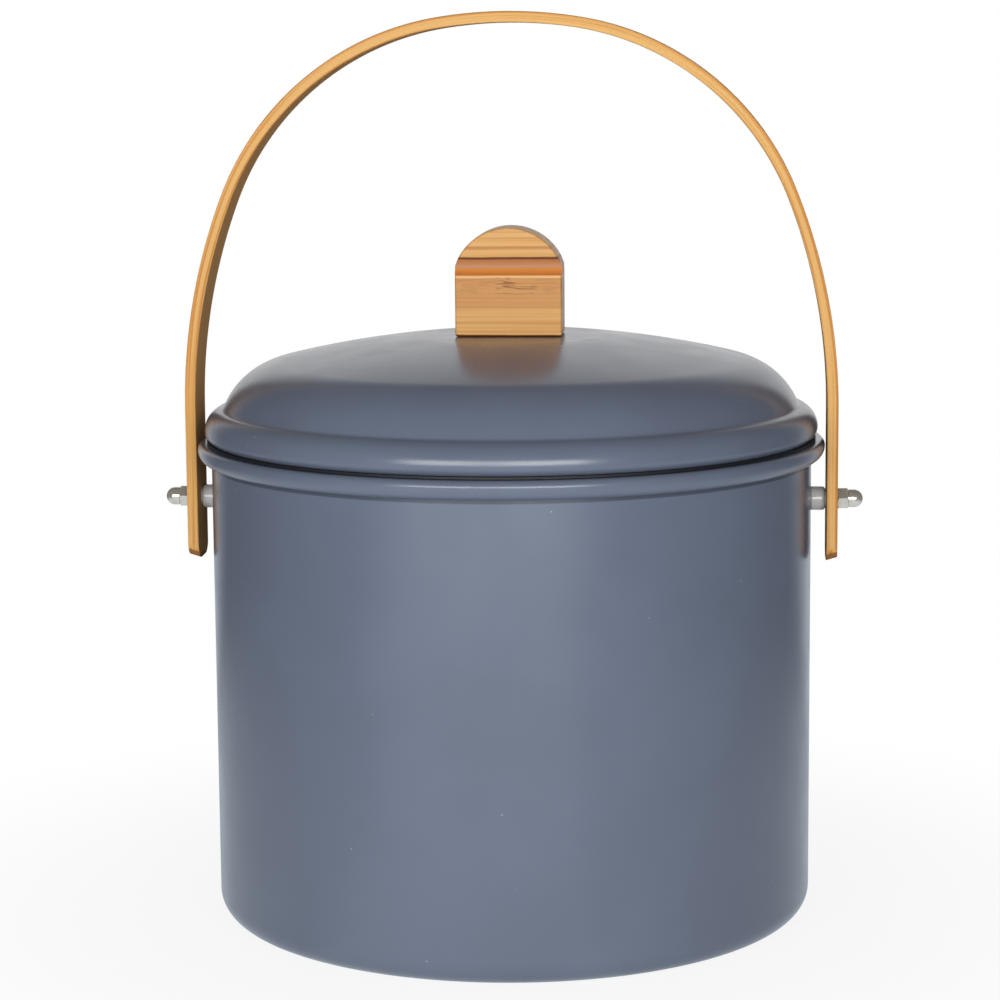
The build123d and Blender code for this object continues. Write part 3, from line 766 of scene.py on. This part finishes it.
def makeKnob(s, base):
    half = s["width"] / 2
    rise = s["height"] - s["sideHeight"]
    archRadius = (half * half + rise * rise) / (2 * rise)
    archCentre = (0.0, base + s["height"] - archRadius)
    archStart = degrees(atan2(s["sideHeight"] - s["height"] + archRadius, half))
    front = -s["thickness"] / 2
    chooseNothing()
    knob = startPoint("lidKnob", -half + s["foot"], base, front)
    pen = [-half + s["foot"], base]
    drawLine(pen, half - s["foot"], base)
    centre = (half - s["foot"], base + s["foot"])
    drawArc(pen, centre, s["foot"], -90, 0, 15)
    drawLine(pen, half, base + s["sideHeight"])
    drawArc(pen, archCentre, archRadius, archStart, 180 - archStart, 2.5)
    drawLine(pen, -half, base + s["foot"])
    drawArc(pen, (-half + s["foot"], base + s["foot"]), s["foot"], 180, 270, 15)
    bpy.ops.mesh.select_all(action="SELECT")
    bpy.ops.mesh.remove_doubles(threshold=2e-6)
    bpy.ops.mesh.select_all(action="SELECT")
    bpy.ops.mesh.edge_face_add()
    bpy.ops.mesh.extrude_region_move(TRANSFORM_OT_translate={"value": (0, s["thickness"], 0)})
    bpy.ops.mesh.select_all(action="SELECT")
    bpy.ops.mesh.normals_make_consistent(inside=False)
    mesh = bmesh.from_edit_mesh(knob.data)
    mesh.select_mode = {"EDGE"}
    for edge in mesh.edges:
        edge.select = abs(edge.verts[0].co.y - edge.verts[1].co.y) < 1e-6
    bmesh.update_edit_mesh(knob.data)
    bpy.ops.mesh.bevel(offset=s["bevel"], segments=3, profile=0.5, affect="EDGES")
    tidyMesh(28)
    scoop = ((s["grooveWidth"] / 2) ** 2 + s["grooveDepth"] ** 2) / (2 * s["grooveDepth"])
    scoopY = s["thickness"] / 2 - s["grooveDepth"] + scoop
    for side in (-1, 1):
        groove = ((0, side * scoopY, base + s["grooveHeight"]), scoop, 0.06, (0, pi / 2, 0))
        carve(knob, rodCutter("knobGroove", [groove], 96))
    bores = [
        ((side * s["screwX"], 0, base + s["boreDepth"] / 2 - 0.001), s["screwBore"], s["boreDepth"] + 0.002, (0, 0, 0))
        for side in (-1, 1)
    ]
    carve(knob, rodCutter("knobBores", bores, 32))
    soften(knob, s["edge"], 2, 38)
    bpy.ops.object.mode_set(mode="EDIT")
    tidyMesh(30)
    evenNormals(knob)
    return knob


knob = makeKnob(knobSizes, seatTop)
dress(knob, knobBamboo, "lid", "bamboo", "lid_knob")
print("knob modelled")


# Spacers: turned round the pivot axis, with a rounded outer end and a thin neck for the bail
spacerSizes = {
    "wallX": 0.120,
    "shoulderX": 0.1257,
    "neckX": 0.1307,
    "radius": 0.00475,
    "neck": 0.0033,
    "bore": 0.00255,
    "outerRound": 0.0014,
    "wallRound": 0.0003,
}


def makeSpacer(s, height):
    outer = (s["shoulderX"] - s["outerRound"], height + s["radius"] - s["outerRound"])
    inner = (s["wallX"] + s["wallRound"], height + s["radius"] - s["wallRound"])
    steps = [
        (s["wallX"], height + s["bore"]),
        (inner, s["wallRound"], 180, 90, 20),
        (outer, s["outerRound"], 90, 0, 8),
        (s["shoulderX"], height + s["neck"]),
        (s["neckX"], height + s["neck"]),
        (s["neckX"], height + s["bore"]),
        (s["wallX"], height + s["bore"]),
    ]
    return turnPiece("rightSpacer", steps, 96, (0, 0, height), (1, 0, 0))


rightSpacer = makeSpacer(spacerSizes, bucketSizes["pivotHeight"])
leftSpacer = otherSide(rightSpacer, "leftSpacer")
dress(rightSpacer, spacerPlastic, "bucket", "spacer", "right_spacer")
dress(leftSpacer, spacerPlastic, "bucket", "spacer", "left_spacer")
print("spacers modelled")


# Cap nuts: a chamfered hexagon, a fine groove and a dome
nutSizes = {
    "baseX": 0.1307,
    "hexX": 0.1347,
    "topX": 0.1407,
    "corner": 0.004619,
    "flat": 0.0040,
    "dome": 0.0036,
    "groove": 0.00335,
    "turn": -8.0,
    "bore": 0.00255,
    "boreDepth": 0.0070,
    "edge": 0.00012,
}


def makeNut(s, height):
    length = s["hexX"] - s["baseX"]
    chooseNothing()
    bpy.ops.mesh.primitive_cylinder_add(
        vertices=6,
        radius=s["corner"],
        depth=length,
        location=((s["baseX"] + s["hexX"]) / 2, 0, height),
        rotation=(0, pi / 2, 0),
    )
    nut = bpy.context.object
    nut.name = nut.data.name = "rightNut"
    bpy.ops.object.transform_apply(location=False, rotation=True, scale=True)
    nut.rotation_euler = (radians(s["turn"]), 0, 0)
    bpy.ops.object.transform_apply(location=True, rotation=True, scale=True)
    slope = (s["corner"] - s["flat"]) * tan(radians(30))
    barrel = [
        (s["baseX"], height),
        (s["baseX"], height + s["flat"]),
        (s["baseX"] + slope, height + s["corner"]),
        (s["hexX"] - slope, height + s["corner"]),
        (s["hexX"], height + s["flat"]),
        (s["hexX"], height),
    ]
    carve(nut, turnPiece("nutBarrel", barrel, 96, (0, 0, height), (1, 0, 0)), "INTERSECT")
    domeCentre = (s["topX"] - s["dome"], height)
    dome = [
        (s["hexX"] - 0.0006, height),
        (s["hexX"] - 0.0006, height + s["groove"]),
        (s["hexX"] + 0.00015, height + s["groove"]),
        (s["hexX"] + 0.0003, height + s["dome"]),
        (domeCentre, s["dome"], 90, 0, 6),
    ]
    carve(nut, turnPiece("nutDome", dome, 96, (0, 0, height), (1, 0, 0)), "UNION")
    bore = ((s["baseX"] + s["boreDepth"] / 2 - 0.001, 0, height), s["bore"], s["boreDepth"] + 0.002, (0, pi / 2, 0))
    carve(nut, rodCutter("nutBore", [bore]))
    soften(nut, s["edge"], 2, 25)
    bpy.ops.object.mode_set(mode="EDIT")
    tidyMesh(28)
    return nut


rightNut = makeNut(nutSizes, bucketSizes["pivotHeight"])
leftNut = otherSide(rightNut, "leftNut")
dress(rightNut, polishedNut, "bucket", "nut", "right_cap_nut")
dress(leftNut, polishedNut, "bucket", "nut", "left_cap_nut")
print("cap nuts modelled")


# Charcoal filter: a cut disc of open foam, a little crowned, with a rounded rim
foamSizes = {
    "inset": 0.0004,
    "crown": 0.0007,
    "rim": 0.0021,
    "rings": 14,
    "wave": 0.00035,
}


def makeFoam(s):
    low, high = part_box("charcoal_filter")
    radius = min(high.x, high.y) - s["inset"]
    bottom = low.z + s["inset"]
    top = high.z - s["inset"]
    flat = radius - s["rim"]
    across = [flat * index / s["rings"] for index in range(s["rings"] + 1)]
    steps = [(r, bottom) for r in across]
    steps.append(((flat, bottom + s["rim"]), s["rim"], -90, 0, 15))
    steps.append(((flat, top - s["crown"] - s["rim"]), s["rim"], 0, 90, 15))
    steps += [(r, top - s["crown"] * (r / flat) ** 2) for r in reversed(across)]
    foam = turnPiece("foamFilter", steps, 120)
    waves = bpy.data.textures.new("foamWaves", "CLOUDS")
    waves.noise_scale = 0.012
    makeActive(foam)
    push = foam.modifiers.new("waves", "DISPLACE")
    push.texture = waves
    push.texture_coords = "LOCAL"
    push.mid_level = 0.7
    push.strength = s["wave"]
    bpy.ops.object.modifier_apply(modifier=push.name)
    return foam


foam = makeFoam(foamSizes)
dress(foam, filterFoam, "lid", "filter", "charcoal_filter")
print("foam filter modelled")


# The rest of the CAD pieces keep their shape and get their finish
nodeFinishes = {
    "screw": zincScrew,
    "liner": linerPlastic,
    "housing": housingPlastic,
    "seal": sealRubber,
}
for node in nodes.values():
    for place in node.material_slots:
        name = place.material.name.split(".")[0]
        if name in nodeFinishes:
            place.material = nodeFinishes[name]


# Floor, light and camera
studio = {
    "floorSize": 8.0,
    "floorColour": (0.84, 0.86, 0.90, 1),
    "ambient": (0.18, 0.85),
    "dimSides": 0.10,
    "backGlow": (0.68, 0.92),
    "lamps": [
        # name, place, aim, width, height, watts, colour
        ("boxRight", (0.363, -1.404, 0.38), (0, 0, 0.15), 0.84, 0.5, 11.5, (1.0, 0.985, 0.955)),
        ("boxLeft", (-0.472, -1.371, 0.38), (0, 0, 0.15), 0.76, 0.5, 9.5, (1.0, 0.985, 0.955)),
    ],
}

chooseNothing()
bpy.ops.mesh.primitive_plane_add(size=studio["floorSize"], location=(0, 0, 0))
floor = bpy.context.object
floor.name = "floor"
floorPaint = bpy.data.materials.new("floorPaint")
floorPaint.use_nodes = True
tree = floorPaint.node_tree
shader = tree.nodes["Principled BSDF"]
shader.inputs["Base Color"].default_value = studio["floorColour"]
shader.inputs["Roughness"].default_value = 0.9
shader.inputs["Specular IOR Level"].default_value = 0.1
rays = addNode(tree, "ShaderNodeLightPath").outputs
place = addNode(tree, "ShaderNodeTexCoord").outputs["Object"]
away = addNode(tree, "ShaderNodeVectorMath", {0: place}, operation="LENGTH").outputs["Value"]
aim = addNode(tree, "ShaderNodeVectorMath", {0: place}, operation="NORMALIZE").outputs["Vector"]
aim = addNode(tree, "ShaderNodeSeparateXYZ", {0: aim}).outputs
# the floor fades to white away from the object; gloss sees a painted glow on it, white behind, in front and near, dim
# at the sides, brightest in a painted patch of light in front where the lamps stand, and tinted blue
shown = sums(tree, "MULTIPLY", rays["Is Camera Ray"], spread(tree, away, 0.12, 0.36, 0.88, 1.0))
paintedLightPool = sums(tree, "MULTIPLY", spread(tree, aim["X"], -0.85, -0.55), spread(tree, aim["X"], 0.35, 0.6, 1.0, 0.0))
front = sums(tree, "MULTIPLY", spread(tree, away, 0.4, 1.8, 1.0, 0.4), spread(tree, paintedLightPool, 0.0, 1.0, 0.2, 1.0))
front = sums(tree, "MULTIPLY", front, spread(tree, aim["Y"], -0.3, 0.1, 1.0, 0.3))
level = sums(tree, "MAXIMUM", front, spread(tree, aim["Y"], 0.55, 0.92))
level = sums(tree, "MAXIMUM", level, spread(tree, away, 0.25, 0.85, 0.85, 0.15))
level = sums(tree, "MAXIMUM", level, rays["Is Camera Ray"])
tint = mixColour(tree, rays["Is Glossy Ray"], (1, 1, 1, 1), (0.82, 0.91, 1.0, 1))
glow = addNode(tree, "ShaderNodeEmission", {"Color": tint, "Strength": level})
share = sums(tree, "MAXIMUM", shown, rays["Is Glossy Ray"])
both = addNode(tree, "ShaderNodeMixShader", {0: share, 1: shader.outputs[0], 2: glow.outputs[0]})
tree.links.new(both.outputs[0], tree.nodes["Material Output"].inputs["Surface"])
floor.data.materials.append(floorPaint)

world = bpy.data.worlds.new("studio")
bpy.context.scene.world = world
world.use_nodes = True
tree = world.node_tree
rays = addNode(tree, "ShaderNodeLightPath").outputs
seen = sums(tree, "MAXIMUM", rays["Is Camera Ray"], rays["Is Transmission Ray"])
towards = addNode(tree, "ShaderNodeTexCoord").outputs["Generated"]
behind = addNode(tree, "ShaderNodeSeparateXYZ", {0: towards}).outputs["Y"]
# gloss sees the white backdrop behind the object and a dim room elsewhere; the room is lighter at the back
backdrop = spread(tree, behind, *studio["backGlow"], studio["dimSides"], 1.0)
mirrored = sums(tree, "MULTIPLY", rays["Is Glossy Ray"], backdrop)
others = sums(tree, "SUBTRACT", 1.0, rays["Is Glossy Ray"])
ambient = spread(tree, behind, 0.15, 0.85, *studio["ambient"])
soft = sums(tree, "ADD", mirrored, sums(tree, "MULTIPLY", others, ambient))
strength = sums(tree, "MAXIMUM", seen, soft)
tree.nodes["Background"].inputs["Color"].default_value = (1, 1, 1, 1)
tree.links.new(strength, tree.nodes["Background"].inputs["Strength"])

for name, place, aim, width, height, watts, tint in studio["lamps"]:
    bpy.ops.object.light_add(type="AREA", location=place)
    lamp = bpy.context.object
    lamp.name = name
    lamp.data.shape = "RECTANGLE"
    lamp.data.size = width
    lamp.data.size_y = height
    lamp.data.energy = watts
    lamp.data.color = tint
    gap = [a - p for a, p in zip(aim, place)]
    lamp.rotation_euler = (pi / 2 - atan2(-gap[2], hypot(gap[0], gap[1])), 0, atan2(gap[1], gap[0]) - pi / 2)

cameraSet = {
    "place": (0.09063, -1.19146, 0.34694),
    "turn": (81.3927, 0.46174, 4.50581),
    "lens": 107.9,
    "sensor": 36.0,
}
bpy.ops.object.camera_add(location=cameraSet["place"], rotation=[radians(a) for a in cameraSet["turn"]])
camera = bpy.context.object
camera.data.lens = cameraSet["lens"]
camera.data.sensor_width = cameraSet["sensor"]
camera.data.clip_start = 0.05
camera.data.clip_end = 50.0
bpy.context.scene.camera = camera
bpy.context.scene.view_settings.view_transform = "Standard"
print("studio set")
